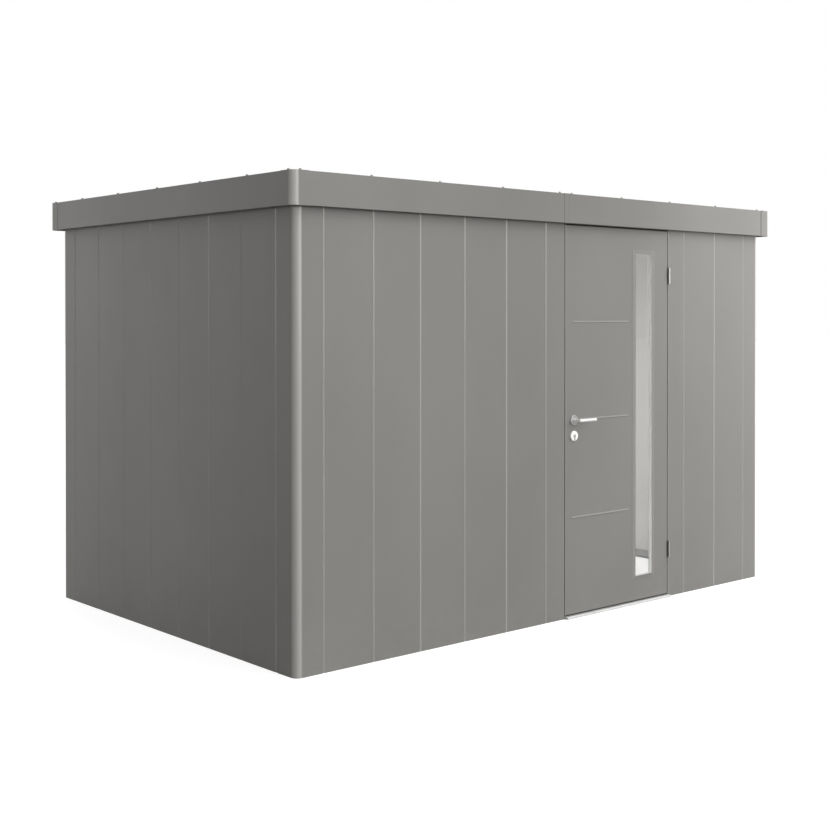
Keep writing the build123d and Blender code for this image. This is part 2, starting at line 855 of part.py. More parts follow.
# Lock cylinder, through the door with a key slot at both ends
lock_back = door_thickness + rose_thickness + cylinder_proud
lock_run = lock_back + rose_thickness + cylinder_proud
with BuildPart() as lock_cylinder:
    with BuildSketch(door_face.offset(-lock_back)):
        add(cylinder_outline(0))
    extrude(amount=lock_run)
    for level, sense in ((lock_run - lock_back, -1), (-lock_back, 1)):
        with BuildSketch(door_face.offset(level)):
            with Locations(lock_spot):
                Rectangle(key_slot_width, key_slot_height)
        extrude(amount=sense * key_slot_depth, mode=Mode.SUBTRACT)


def lever(start_depth, sense):
    """Lever of one round bar, mitred at the corner: neck out of the rose, then the grip."""
    near = front_face + start_depth
    far = near + sense * (lever_stand - lever_start)
    start = (lever_spot[0], near, lever_height)
    with BuildPart() as bar:
        with BuildLine() as path:
            Polyline(
                start,
                (lever_spot[0], far, lever_height),
                (lever_spot[0] + lever_reach, far, lever_height),
            )
        with BuildSketch(Plane(origin=start, x_dir=(1, 0, 0), z_dir=(0, sense, 0))):
            Circle(lever_radius)
        sweep(path=path.wire(), transition=Transition.RIGHT)
        chamfer(bar.faces().sort_by(Axis.X)[-1].edges(), lever_end_chamfer)
    return bar.part


outside_bar = lever(-lever_start, -1)
inside_bar = lever(door_thickness + lever_start, 1)
spindle_back = door_thickness + lever_start + spindle_socket
with BuildPart() as lever_outside:
    add(outside_bar)
    with BuildSketch(door_face.offset(-spindle_back)):
        with Locations(lever_spot):
            Rectangle(spindle_width, spindle_width)
    extrude(amount=spindle_back + lever_start)
with BuildPart() as lever_inside:
    add(inside_bar)
    with BuildSketch(door_face.offset(-spindle_back)):
        with Locations(lever_spot):
            Rectangle(spindle_width + 2 * spindle_fit, spindle_width + 2 * spindle_fit)
    extrude(amount=spindle_socket, mode=Mode.SUBTRACT)

pieces = {
    "floor_frame": floor_frame.part,
    "door_sill": door_sill.part,
    "corner_panel_front_left": corner_panel_front_left,
    "corner_panel_front_right": corner_panel_front_right,
    "corner_panel_back_right": corner_panel_back_right,
    "corner_panel_back_left": corner_panel_back_left,
    "front_panel_half": front_left_run[0],
    "front_panel_left": front_left_run[1],
    "front_panel_middle": front_left_run[2],
    "front_panel_right": front_panel_right,
    "door_post_lock": door_post_lock.part,
    "door_post_hinge": door_post_hinge,
    "door_head": door_head.part,
    "left_wall_panels": left_wall_panels.part,
    "right_wall_panels": right_wall_panels.part,
    "back_wall_panels": back_wall_panels.part,
    "top_rail_front": top_rail_front,
    "top_rail_left": top_rail_left,
    "top_rail_right": top_rail_right,
    "rear_gutter": rear_gutter,
    "roof_purlins": roof_purlins.part,
    "roof_sheets": roof_sheets.part,
    "roof_seam_caps": roof_seam_caps.part,
    "fascia_front_left": fascia_front_left,
    "fascia_front_right": fascia_front_right,
    "fascia_left": fascia_left,
    "fascia_right": fascia_right,
    "fascia_back": fascia_back.part,
    "fascia_corners": fascia_corners.part,
    "fascia_joint_covers": fascia_joint_covers.part,
    "hinge_frame_halves": hinge_frame_halves.part,
    "door_outer_skin": door_outer_skin.part,
    "door_inner_skin": door_inner_skin.part,
    "window_trim_outer": window_trim_outer,
    "window_trim_inner": window_trim_inner,
    "window_pane": window_pane.part,
    "hinge_door_halves": hinge_door_halves.part,
    "door_roses": door_roses.part,
    "lock_cylinder": lock_cylinder.part,
    "lock_face": lock_face.part,
    "lever_outside": lever_outside.part,
    "lever_inside": lever_inside.part,
}
for name, piece in pieces.items():
    piece.label = name
    export_step(piece, f"parts/{name}.step")
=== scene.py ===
"""Looks of the metal tool shed: finishes, small fixings, seals, studio and camera."""
import logging
import math
from dataclasses import dataclass
from enum import Enum
from typing import Any, Sequence

import bmesh
import bpy
from mathutils import Matrix, Vector


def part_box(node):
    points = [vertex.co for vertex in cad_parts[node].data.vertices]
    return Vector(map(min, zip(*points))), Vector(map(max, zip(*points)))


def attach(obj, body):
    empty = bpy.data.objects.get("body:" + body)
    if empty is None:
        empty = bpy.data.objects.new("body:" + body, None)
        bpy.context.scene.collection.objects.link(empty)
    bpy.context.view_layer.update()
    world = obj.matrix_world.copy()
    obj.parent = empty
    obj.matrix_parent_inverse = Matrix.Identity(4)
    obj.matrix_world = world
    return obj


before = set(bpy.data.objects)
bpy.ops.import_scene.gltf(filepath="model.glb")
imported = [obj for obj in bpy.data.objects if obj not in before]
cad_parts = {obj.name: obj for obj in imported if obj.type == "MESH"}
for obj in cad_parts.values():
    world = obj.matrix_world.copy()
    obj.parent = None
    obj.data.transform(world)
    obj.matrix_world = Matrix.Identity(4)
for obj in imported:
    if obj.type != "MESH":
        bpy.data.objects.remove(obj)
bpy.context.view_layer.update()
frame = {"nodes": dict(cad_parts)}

LOG = logging.getLogger("shed")
NOISE_SPAN = (0.3, 0.7)
BEVEL_STEPS = 2
TOUCH = 1e-6
Colour = tuple[float, float, float]
Point = tuple[float, float, float]
Pair = tuple[float, float]
Spots = tuple[float, ...]
Grain = tuple[Point, float]  # grains to the metre along X, Y and Z, and octaves of the noise
Socket = bpy.types.NodeSocket
Material = bpy.types.Material
Shape = bmesh.types.BMesh


class Body(Enum):
    """The rigid bodies that new pieces ride on."""

    SHED = "shed"
    DOOR = "door"


class Slot(Enum):
    """The record's material slots that new pieces belong to."""

    WALL = "wall_paint"
    FASCIA = "fascia_paint"
    DOOR = "door_paint"
    FRAME = "frame_metal"
    STEEL = "bright_steel"
    GLASS = "window_glass"


class Axis(Enum):
    """Axes that a drawn or brushed grain can follow."""

    X = 0
    Y = 1
    Z = 2


class Mix(Enum):
    """What a mix node mixes, with the numbers of its two inputs and its output."""

    COLOUR = ("RGBA", 6, 7, 2)
    VALUE = ("FLOAT", 2, 3, 0)


class NodeBench:
    """Node tree of one material or world, with short ways to add and join its nodes."""

    def __init__(self, owner: bpy.types.ID, output: str = "ShaderNodeOutputMaterial") -> None:
        """Start an empty node tree.

        Args:
            owner: Material or world that gets the tree.
            output: Blender's name of its output node.
        """
        owner.use_nodes = True
        self.owner = owner
        self.tree = owner.node_tree
        self.tree.nodes.clear()
        self.output = self.add(output)

    def add(self, kind: str, settings: dict[str, Any] | None = None, **sockets: Any) -> bpy.types.Node:
        """Add one node.

        Args:
            kind: Blender's name of the node type.
            settings: Attributes of the node itself.
            sockets: Input values or output sockets, by input name with _ for a space.

        Returns:
            The new node.
        """
        node = self.tree.nodes.new(kind)
        for key, value in (settings or {}).items():
            setattr(node, key, value)
        for key, value in sockets.items():
            self.feed(node, key.replace("_", " "), value)
        return node

    def feed(self, node: bpy.types.Node, socket: str | int, value: Any) -> None:
        """Set an input to a value, or join an output socket to it.

        Args:
            node: Node that owns the input.
            socket: Name or number of the input.
            value: A plain value or an output socket.
        """
        target = node.inputs[socket]
        if isinstance(value, Socket):
            self.tree.links.new(value, target)
        else:
            target.default_value = value

    def math(self, operation: str, first: Any, second: Any = 0.0) -> Socket:
        """Join two values by one arithmetic step.

        Args:
            operation: Blender's name of the step.
            first: First value or socket.
            second: Second value or socket.

        Returns:
            The result's socket.
        """
        node = self.add("ShaderNodeMath", {"operation": operation})
        self.feed(node, 0, first)
        self.feed(node, 1, second)
        return node.outputs[0]

    def mix(self, factor: Any, first: Any, second: Any, kind: Mix = Mix.COLOUR) -> Socket:
        """Mix two colours or values.

        Args:
            factor: Share of the second one.
            first: First colour, value or socket.
            second: Second colour, value or socket.
            kind: What is mixed.

        Returns:
            The result's socket.
        """
        data_type, one, two, result = kind.value
        node = self.add("ShaderNodeMix", {"data_type": data_type})
        for socket, value in ((0, factor), (one, first), (two, second)):
            self.feed(node, socket, value)
        return node.outputs[result]

    def blend(self, factor: Any, first: Any, second: Any) -> Socket:
        """Mix two plain values."""
        return self.mix(factor, first, second, Mix.VALUE)

    def place(self) -> Socket:
        """Object coordinates of the surface."""
        return self.add("ShaderNodeTexCoord").outputs["Object"]

    def facing(self) -> Socket:
        """Direction the surface faces, in the object's own axes."""
        return self.add("ShaderNodeTexCoord").outputs["Normal"]

    def spot(self) -> Sequence[Socket]:
        """X, Y and Z of the surface's object coordinates."""
        return self.add("ShaderNodeSeparateXYZ", Vector=self.place()).outputs

    def slope(self) -> Sequence[Socket]:
        """X, Y and Z of the direction the surface faces."""
        return self.add("ShaderNodeSeparateXYZ", Vector=self.facing()).outputs

    def apart(self, value: Any, middle: float = 0.0) -> Socket:
        """Distance of a value from a middle."""
        return self.math("ABSOLUTE", self.math("SUBTRACT", value, middle))

    def noise(self, scale: Sequence[float], detail: float) -> Socket:
        """Noise on object coordinates, stretched by a scale for each axis.

        Args:
            scale: Grains to the metre along X, Y and Z.
            detail: Octaves of the noise.

        Returns:
            The noise value's socket.
        """
        mapping = self.add("ShaderNodeMapping", Vector=self.place(), Scale=tuple(scale))
        texture = self.add("ShaderNodeTexNoise", Vector=mapping.outputs[0], Scale=1.0, Detail=detail)
        return texture.outputs["Fac"]

    def carry(self, value: Any, source: Sequence[float], target: Sequence[float]) -> Socket:
        """Carry a value from one range to another.

        Args:
            value: Socket with the value.
            source: Low and high end of its range.
            target: Results at the two ends.

        Returns:
            The result's socket.
        """
        node = self.add("ShaderNodeMapRange", Value=value)
        for socket, number in zip(("From Min", "From Max", "To Min", "To Max"), (*source, *target)):
            self.feed(node, socket, number)
        return node.outputs[0]

    def span(self, value: Any, low: float = 0.0, high: float = 1.0) -> Socket:
        """Spread a noise value from low to high."""
        return self.carry(value, NOISE_SPAN, (low, high))

    def bump(self, height: Any, strength: float, distance: float) -> Socket:
        """Surface relief from a height, as deep as the distance in metres."""
        node = self.add("ShaderNodeBump", Height=height, Strength=strength, Distance=distance)
        return node.outputs[0]

    def close(self, shader: bpy.types.Node) -> bpy.types.ID:
        """Join the last shader to the output and give the finished material or world."""
        self.tree.links.new(shader.outputs[0], self.output.inputs["Surface"])
        return self.owner


def opaque(colour: Colour, gain: float = 1.0) -> tuple[float, float, float, float]:
    """The colour with full cover, paler or deeper by a gain."""
    return (*(gain * c for c in colour), 1.0)


def start_bench(name: str) -> NodeBench:
    """Node tree of a new material."""
    return NodeBench(bpy.data.materials.new(name))


@dataclass(frozen=True)
class PaleLining:
    """Pale bright lining of the faces round a window opening."""

    colour: Colour = (0.76, 0.754, 0.738)
    roughness: float = 0.28
    metallic: float = 0.5
    middle: Pair = (0.625, 1.034)
    half: Pair = (0.0705, 0.8845)
    front_limit: float = 0.5

    def cover(self, bench: NodeBench) -> Socket:
        """Find the lining faces of the opening.

        Args:
            bench: Node tree to add to.

        Returns:
            A socket that is 1 on the lining and 0 on other faces.
        """
        spot = bench.spot()
        side_on = bench.math("LESS_THAN", bench.apart(bench.slope()[1]), self.front_limit)
        for along, middle, half in zip((spot[0], spot[2]), self.middle, self.half):
            inside = bench.math("LESS_THAN", bench.apart(along, middle), half)
            side_on = bench.math("MULTIPLY", side_on, inside)
        return side_on


@dataclass(frozen=True)
class RibHighlight:
    """Painted highlight on the pressed ribs of the door: their raised faces are painted paler."""

    gain: float = 1.45
    levels: Spots = (0.523, 1.035, 1.545)
    half_width: float = 0.0056
    face: float = -1.1302
    middle: float = 0.276
    half_length: float = 0.232

    def cover(self, bench: NodeBench) -> Socket:
        """Find the raised faces of the ribs.

        Args:
            bench: Node tree to add to.

        Returns:
            A socket that is 1 on the ribs and 0 on other faces.
        """
        along, out, up = bench.spot()
        bands: Any = 0.0
        for level in self.levels:
            near = bench.math("LESS_THAN", bench.apart(up, level), self.half_width)
            bands = bench.math("ADD", bands, near)
        within = bench.math("LESS_THAN", bench.apart(along, self.middle), self.half_length)
        raised = bench.math("LESS_THAN", out, self.face)
        return bench.math("MULTIPLY", bench.math("MULTIPLY", bands, within), raised)


@dataclass(frozen=True)
class SatinPaint:
    """Satin metallic coating with a fine flake, orange peel, a trace of ground dust and a painted
    highlight on upright bends.

    Outside faces take the coat's colour. With a lining, faces that look into the room take that
    paler colour, as coil-coated sheet has a plain back.
    """

    name: str
    colour: Colour = (0.205, 0.200, 0.190)
    tones: Pair = (0.95, 1.06)
    drift: Grain = ((1.6, 1.6, 0.9), 3.0)
    flake: Grain = ((2600.0, 2600.0, 2600.0), 1.0)
    flake_gain: float = 1.22
    flake_share: float = 0.22
    peel: Grain = ((420.0, 420.0, 420.0), 2.0)
    peel_strength: float = 0.10
    peel_depth: float = 0.0004
    lining: Colour | None = None
    metallic: float = 0.3
    roughness: Pair = (0.42, 0.48)
    waves: Grain = ((5.0, 5.0, 5.0), 4.0)
    stretch: float = 0.80
    rise: Point = (0.05, 0.03, 1.0)
    gloss: float = 0.22
    gloss_roughness: float = 0.14
    dust: Colour = (0.36, 0.34, 0.30)
    dust_top: float = 0.30
    dust_share: float = 0.10
    dust_blotch: Grain = ((14.0, 14.0, 22.0), 6.0)
    half_length: float = 1.66
    half_width: float = 1.10
    outward_limit: float = 0.2
    # Painted highlight: how much paler the upright bends are painted.
    bend_highlight_gain: float = 1.72
    bend_sharpness: float = 4.0
    bend_line: float = 1.04
    side_share: float = 0.35
    corner_line: float = 1.65
    corner_roughness: float = 0.64
    reveal: PaleLining | None = None
    # Painted highlight on the door ribs, when given.
    ribs: RibHighlight | None = None

    def upright(self, bench: NodeBench) -> Socket:
        """Find the way up along the surface, across the roll marks of the sheet.

        Args:
            bench: Node tree to add to.

        Returns:
            The direction's socket.
        """
        facing = bench.facing()
        way: Any = self.rise
        for _ in ("level", "upright"):
            cross = bench.add("ShaderNodeVectorMath", {"operation": "CROSS_PRODUCT"})
            bench.feed(cross, 0, facing)
            bench.feed(cross, 1, way)
            way = cross.outputs[0]
        return way

    def bends(self, bench: NodeBench) -> Socket:
        """Find the upright bends of the sheet, which are painted paler as a painted highlight.

        Args:
            bench: Node tree to add to.

        Returns:
            A socket that is 1 on the bends of the long sides, less on others and 0 on flat faces.
        """
        slope = bench.slope()
        slant = bench.apart(bench.math("MULTIPLY", slope[0], slope[1]))
        slant = bench.math("MINIMUM", bench.math("MULTIPLY", slant, self.bend_sharpness), 1.0)
        long_side = bench.math("GREATER_THAN", bench.apart(bench.spot()[1]), self.bend_line)
        return bench.math("MULTIPLY", slant, bench.blend(long_side, self.side_share, 1.0))

    def corners(self, bench: NodeBench, bends: Socket) -> Socket:
        """Keep of the bends only those at the rounded corners of the shed."""
        at_end = bench.math("GREATER_THAN", bench.apart(bench.spot()[0]), self.corner_line)
        return bench.math("MULTIPLY", bends, at_end)

    def outward(self, bench: NodeBench) -> Socket:
        """Tell outside faces of the four walls from faces that look into the room.

        Args:
            bench: Node tree to add to.

        Returns:
            A socket that is 1 on outside faces and 0 on others.
        """
        tests = []
        for spot, slope, half in zip(bench.spot(), bench.slope(), (self.half_length, self.half_width)):
            near_wall = bench.math("GREATER_THAN", bench.apart(spot), half)
            away = bench.math("MULTIPLY", slope, bench.math("SIGN", spot))
            outside = bench.math("GREATER_THAN", away, self.outward_limit)
            tests.append(bench.math("MULTIPLY", near_wall, outside))
        return bench.math("MAXIMUM", tests[0], tests[1])

    def material(self) -> Material:
        """Build the coating.

        Returns:
            The finished material.
        """
        bench = start_bench(self.name)
        drift = bench.span(bench.noise(*self.drift))
        coat = bench.mix(drift, *(opaque(self.colour, tone) for tone in self.tones))
        flake = bench.span(bench.noise(*self.flake))
        flake = bench.math("MULTIPLY", flake, self.flake_share)
        coat = bench.mix(flake, coat, opaque(self.colour, self.flake_gain))
        low = bench.carry(bench.spot()[2], (0.0, self.dust_top), (self.dust_share, 0.0))
        blotch = bench.span(bench.noise(*self.dust_blotch))
        coat = bench.mix(bench.math("MULTIPLY", low, blotch), coat, opaque(self.dust))
        bends = self.bends(bench)
        # Painted highlight: faces that turn between front and side, at bends and corners, are painted
        # paler.
        coat = bench.mix(bends, coat, opaque(self.colour, self.bend_highlight_gain))
        metallic: Any = self.metallic
        rough = bench.span(bench.noise(*self.waves), *self.roughness)
        rough = bench.blend(self.corners(bench, bends), rough, self.corner_roughness)
        if self.lining is not None:
            coat = bench.mix(self.outward(bench), opaque(self.lining), coat)
        if self.ribs is not None:
            # Painted highlight: the raised faces of the door ribs are painted paler.
            coat = bench.mix(self.ribs.cover(bench), coat, opaque(self.colour, self.ribs.gain))
        if self.reveal is not None:
            bright = self.reveal.cover(bench)
            coat = bench.mix(bright, coat, opaque(self.reveal.colour))
            metallic = bench.blend(bright, self.metallic, self.reveal.metallic)
            rough = bench.blend(bright, rough, self.reveal.roughness)
        surface = bench.add(
            "ShaderNodeBsdfPrincipled",
            Base_Color=coat,
            Metallic=metallic,
            Roughness=rough,
            Normal=bench.bump(bench.noise(*self.peel), self.peel_strength, self.peel_depth),
            Anisotropic=self.stretch,
            Tangent=self.upright(bench),
            Coat_Weight=self.gloss,
            Coat_Roughness=self.gloss_roughness,
        )
        return bench.close(surface)


@dataclass(frozen=True)
class ZincSheet:
    """Zinc-coated roof sheet with a faint spangle and rain marks along the fall."""

    name: str = "zinc_sheet"
    colour: Colour = (0.30, 0.308, 0.308)
    tones: Pair = (0.86, 1.12)
    spangle: float = 70.0
    relief: float = 0.05
    relief_depth: float = 0.0002
    marks: Colour = (0.22, 0.22, 0.215)
    mark_run: Grain = ((26.0, 1.1, 26.0), 5.0)
    mark_share: float = 0.22
    metallic: float = 0.25
    roughness: float = 0.62
    roughness_gain: float = 0.16

    def material(self) -> Material:
        """Build the coating.

        Returns:
            The finished material.
        """
        bench = start_bench(self.name)
        crystals = bench.add("ShaderNodeTexVoronoi", Vector=bench.place(), Scale=self.spangle)
        grey = bench.add("ShaderNodeRGBToBW", Color=crystals.outputs["Color"]).outputs[0]
        coat = bench.mix(grey, *(opaque(self.colour, tone) for tone in self.tones))
        marks = bench.span(bench.noise(*self.mark_run), 0.0, self.mark_share)
        rough = bench.math("MULTIPLY", grey, self.roughness_gain)
        surface = bench.add(
            "ShaderNodeBsdfPrincipled",
            Base_Color=bench.mix(marks, coat, opaque(self.marks)),
            Metallic=self.metallic,
            Roughness=bench.math("ADD", rough, self.roughness),
            Normal=bench.bump(grey, self.relief, self.relief_depth),
        )
        return bench.close(surface)


@dataclass(frozen=True)
class LockRoseSheen:
    """Painted reflection on the lock roses, which sit below the lever roses: they are painted pale and
    less metallic.
    """

    colour: Colour
    metallic: float
    top: float

    def cover(self, bench: NodeBench) -> Socket:
        """A socket that is 1 on what sits below the level and 0 above it."""
        return bench.math("LESS_THAN", bench.spot()[2], self.top)


@dataclass(frozen=True)
class GrainedMetal:
    """Bare metal with a drawn or brushed grain along one axis."""

    name: str
    colour: Colour
    grain: Axis
    roughness: Pair
    metallic: float = 1.0
    fineness: float = 900.0
    ring: LockRoseSheen | None = None
    tones: Pair = (0.90, 1.05)
    clouds: Grain = ((9.0, 9.0, 9.0), 4.0)
    drawn_out: float = 60.0
    octaves: float = 3.0
    relief: float = 0.04
    relief_depth: float = 0.0002

    def material(self) -> Material:
        """Build the metal.

        Returns:
            The finished material.
        """
        bench = start_bench(self.name)
        scale = [self.fineness] * 3
        scale[self.grain.value] = self.fineness / self.drawn_out
        lines = bench.noise(scale, self.octaves)
        clouds = bench.span(bench.noise(*self.clouds))
        base = bench.mix(clouds, *(opaque(self.colour, tone) for tone in self.tones))
        metallic: Any = self.metallic
        if self.ring is not None:
            low = self.ring.cover(bench)
            # Painted reflection: what lies below the level is painted pale and less metallic.
            base = bench.mix(low, base, opaque(self.ring.colour))
            metallic = bench.blend(low, self.metallic, self.ring.metallic)
        surface = bench.add(
            "ShaderNodeBsdfPrincipled",
            Base_Color=base,
            Metallic=metallic,
            Roughness=bench.span(lines, *self.roughness),
            Normal=bench.bump(lines, self.relief, self.relief_depth),
        )
        return bench.close(surface)


@dataclass(frozen=True)
class ClearGlass:
    """Clear float glass with a faint warm body and a thin film of dust."""

    name: str = "clear_glass"
    colour: Colour = (0.970, 0.968, 0.955)
    bending: float = 1.45
    film: Grain = ((6.0, 6.0, 3.0), 5.0)
    film_roughness: float = 0.025

    def material(self) -> Material:
        """Build the glass.

        Returns:
            The finished material.
        """
        bench = start_bench(self.name)
        surface = bench.add(
            "ShaderNodeBsdfPrincipled",
            Base_Color=opaque(self.colour),
            Roughness=bench.span(bench.noise(*self.film), 0.0, self.film_roughness),
            IOR=self.bending,
            Transmission_Weight=1.0,
        )
        passing = bench.add("ShaderNodeBsdfTransparent", Color=opaque(self.colour))
        rays = bench.add("ShaderNodeLightPath")
        mixed = bench.add("ShaderNodeMixShader", Fac=rays.outputs["Is Shadow Ray"])
        bench.feed(mixed, 1, surface.outputs[0])
        bench.feed(mixed, 2, passing.outputs[0])
        return bench.close(mixed)


@dataclass(frozen=True)
class SealRubber:
    """Matt rubber of seals and gaskets with a slight bloom."""

    name: str = "seal_rubber"
    colour: Colour = (0.018, 0.018, 0.019)
    bloom: Colour = (0.045, 0.045, 0.046)
    bloom_run: Grain = ((60.0, 60.0, 8.0), 5.0)
    bloom_share: float = 0.5
    patches: Grain = ((90.0, 90.0, 90.0), 3.0)
    roughness: Pair = (0.55, 0.78)
    grit: Grain = ((700.0, 700.0, 700.0), 2.0)
    relief: float = 0.15
    relief_depth: float = 0.0002

    def material(self) -> Material:
        """Build the rubber.

        Returns:
            The finished material.
        """
        bench = start_bench(self.name)
        bloom = bench.span(bench.noise(*self.bloom_run), 0.0, self.bloom_share)
        surface = bench.add(
            "ShaderNodeBsdfPrincipled",
            Base_Color=bench.mix(bloom, opaque(self.colour), opaque(self.bloom)),
            Roughness=bench.span(bench.noise(*self.patches), *self.roughness),
            Normal=bench.bump(bench.noise(*self.grit), self.relief, self.relief_depth),
        )
        return bench.close(surface)


class Finishes:
    """All finishes of the shed, built once."""

    def __init__(self) -> None:
        """Build the materials."""
        lining: Colour = (0.525, 0.518, 0.502)
        self.wall = SatinPaint("wall_paint", lining=lining).material()
        self.frame_paint = SatinPaint("frame_paint").material()
        self.fascia = SatinPaint("fascia_paint").material()
        # Door coat with a painted highlight on its ribs.
        self.door = SatinPaint("door_paint", ribs=RibHighlight()).material()
        # Trim with a weaker painted highlight on its bends, and a pale lining in the opening.
        self.trim = SatinPaint("trim_paint", bend_highlight_gain=1.15, reveal=PaleLining()).material()
        self.roof = ZincSheet().material()
        rail: Colour = (0.33, 0.335, 0.335)
        fine = 1400.0
        # Lock roses painted pale as a painted reflection.
        ring = LockRoseSheen((0.92, 0.92, 0.91), 0.15, 0.985)
        self.profile_x = GrainedMetal("profile_x", rail, Axis.X, (0.46, 0.58), 0.3).material()
        self.profile_y = GrainedMetal("profile_y", rail, Axis.Y, (0.46, 0.58), 0.3).material()
        channel = GrainedMetal("floor_channel", (0.33, 0.33, 0.32), Axis.X, (0.36, 0.50), 0.25)
        self.channel = channel.material()
        sill = GrainedMetal("anodised_sill", (0.60, 0.60, 0.59), Axis.X, (0.36, 0.50), 0.25)
        self.sill = sill.material()
        lever = GrainedMetal("brushed_steel", (0.90, 0.90, 0.89), Axis.X, (0.22, 0.32), 0.4, fine)
        self.steel = lever.material()
        rose = GrainedMetal("rose_steel", (0.50, 0.50, 0.49), Axis.X, (0.24, 0.34), 0.6, fine, ring)
        self.rose = rose.material()
        hinge = GrainedMetal("hinge_steel", (0.40, 0.40, 0.39), Axis.Z, (0.30, 0.42), fineness=fine)
        self.hinge = hinge.material()
        lock = GrainedMetal("satin_nickel", (0.60, 0.585, 0.55), Axis.Y, (0.22, 0.34), 0.6, 1600.0)
        self.lock = lock.material()
        self.glass = ClearGlass().material()
        self.rubber = SealRubber().material()
        self.silicone = SealRubber("pale_silicone", (0.58, 0.58, 0.57), (0.64, 0.64, 0.63)).material()


@dataclass
class Dress:
    """Base of each sub-assembly's looks: finishes for its solids, and new pieces on a body."""

    finishes: Finishes
    nodes: dict[str, bpy.types.Object]

    def dress(self, material: Material, *names: str) -> None:
        """Give solids one finish.

        Args:
            material: The finish.
            names: Names of the nodes.
        """
        for name in names:
            for place in self.nodes[name].material_slots:
                place.material = material
            LOG.info("dressed %s in %s", name, material.name)

    def piece(self, name: str, shape: Shape, material: Material, body: Body, slot: Slot) -> None:
        """Make one piece from a shape, and free the shape.

        Args:
            name: Name of the piece.
            shape: Finished shape in the row frame.
            material: Finish of the piece.
            body: Body that carries it.
            slot: Material slot that it belongs to; not used.
        """
        mesh = bpy.data.meshes.new(name)
        shape.to_mesh(mesh)
        shape.free()
        mesh.materials.append(material)
        made = bpy.data.objects.new(name, mesh)
        bpy.context.scene.collection.objects.link(made)
        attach(made, body.value)
        LOG.info("made %s, %d faces", name, len(mesh.polygons))


def turn_to(direction: Point) -> Matrix:
    """Rotation that points the local Z axis along a direction."""
    return Vector((0.0, 0.0, 1.0)).rotation_difference(Vector(direction)).to_matrix().to_4x4()


def add_cone(
    shape: Shape, sides: int, low: float, high: float, depth: float, level: float = 0.0
) -> None:
    """Add a closed cone frustum on the Z axis.

    Args:
        shape: Shape to add to.
        sides: Number of sides.
        low: Radius at the foot.
        high: Radius at the head.
        depth: Height.
        level: Level of the foot.
    """
    matrix = Matrix.Translation((0.0, 0.0, level + depth / 2))
    sizes = {"segments": sides, "radius1": low, "radius2": high, "depth": depth}
    bmesh.ops.create_cone(shape, cap_ends=True, cap_tris=False, matrix=matrix, **sizes)


def soften(shape: Shape, edges: Sequence[bmesh.types.BMEdge], width: float) -> None:
    """Round edges of a shape by a bevel of one width."""
    form = {"offset_type": "OFFSET", "segments": BEVEL_STEPS, "profile": 0.5, "affect": "EDGES"}
    bmesh.ops.bevel(shape, geom=list(edges), offset=width, clamp_overlap=True, material=-1, **form)


def pull(shape: Shape, faces: Sequence[bmesh.types.BMFace], depth: float) -> None:
    """Extrude faces along Z.

    Args:
        shape: Shape that owns the faces.
        faces: Faces to pull.
        depth: How far they move.
    """
    made = bmesh.ops.extrude_face_region(shape, geom=faces)
    moved = [part for part in made["geom"] if isinstance(part, bmesh.types.BMVert)]
    bmesh.ops.translate(shape, vec=(0.0, 0.0, depth), verts=moved)


def join_shape(shape: Shape, other: Shape, place: Matrix) -> None:
    """Add a finished shape to another at its place, and free it.

    Args:
        shape: Shape to add to.
        other: Shape to add.
        place: Placement of the added shape.
    """
    bmesh.ops.transform(other, matrix=place, verts=other.verts[:])
    carrier = bpy.data.meshes.new("carrier")
    other.to_mesh(carrier)
    other.free()
    shape.from_mesh(carrier)
    bpy.data.meshes.remove(carrier)


@dataclass(frozen=True)
class SealingScrew:
    """Hexagon screw with a pressed flange, as used on sheet roofs."""

    flange_radius: float = 0.0085
    flange_shoulder: float = 0.0076
    flange_height: float = 0.0018
    hex_radius: float = 0.0056
    hex_height: float = 0.0054
    rounding: float = 0.0006
    sides: int = 16
    hex_sides: int = 6

    def add_to(self, shape: Shape, spot: Point, direction: Point) -> None:
        """Add one screw head.

        Args:
            shape: Shape to add to.
            spot: Point on the carrying surface.
            direction: Way the head stands.
        """
        screw = bmesh.new()
        seat = self.flange_height
        add_cone(screw, self.sides, self.flange_radius, self.flange_shoulder, seat)
        add_cone(screw, self.hex_sides, self.hex_radius, self.hex_radius, self.hex_height, seat)
        top = seat + self.hex_height - TOUCH
        rim = [edge for edge in screw.edges if all(vert.co.z > top for vert in edge.verts)]
        soften(screw, rim, self.rounding)
        join_shape(shape, screw, Matrix.Translation(spot) @ turn_to(direction))


@dataclass(frozen=True)
class FlushScrew:
    """Countersunk screw with a hexagon socket, set flush in a strap."""

    radius: float = 0.0036
    crown: float = 0.0032
    height: float = 0.0004
    socket_radius: float = 0.0016
    socket_depth: float = 0.0003
    sides: int = 18
    upward: float = 0.9

    def add_to(self, shape: Shape, spot: Point, direction: Point) -> None:
        """Add one screw head.

        Args:
            shape: Shape to add to.
            spot: Point on the carrying surface.
            direction: Way the head faces.
        """
        screw = bmesh.new()
        add_cone(screw, self.sides, self.radius, self.crown, self.height)
        top = [face for face in screw.faces if face.normal.z > self.upward]
        bmesh.ops.inset_region(screw, faces=top, thickness=self.crown - self.socket_radius)
        pull(screw, top, -self.socket_depth)
        bmesh.ops.delete(screw, geom=top, context="FACES")
        join_shape(shape, screw, Matrix.Translation(spot) @ turn_to(direction))


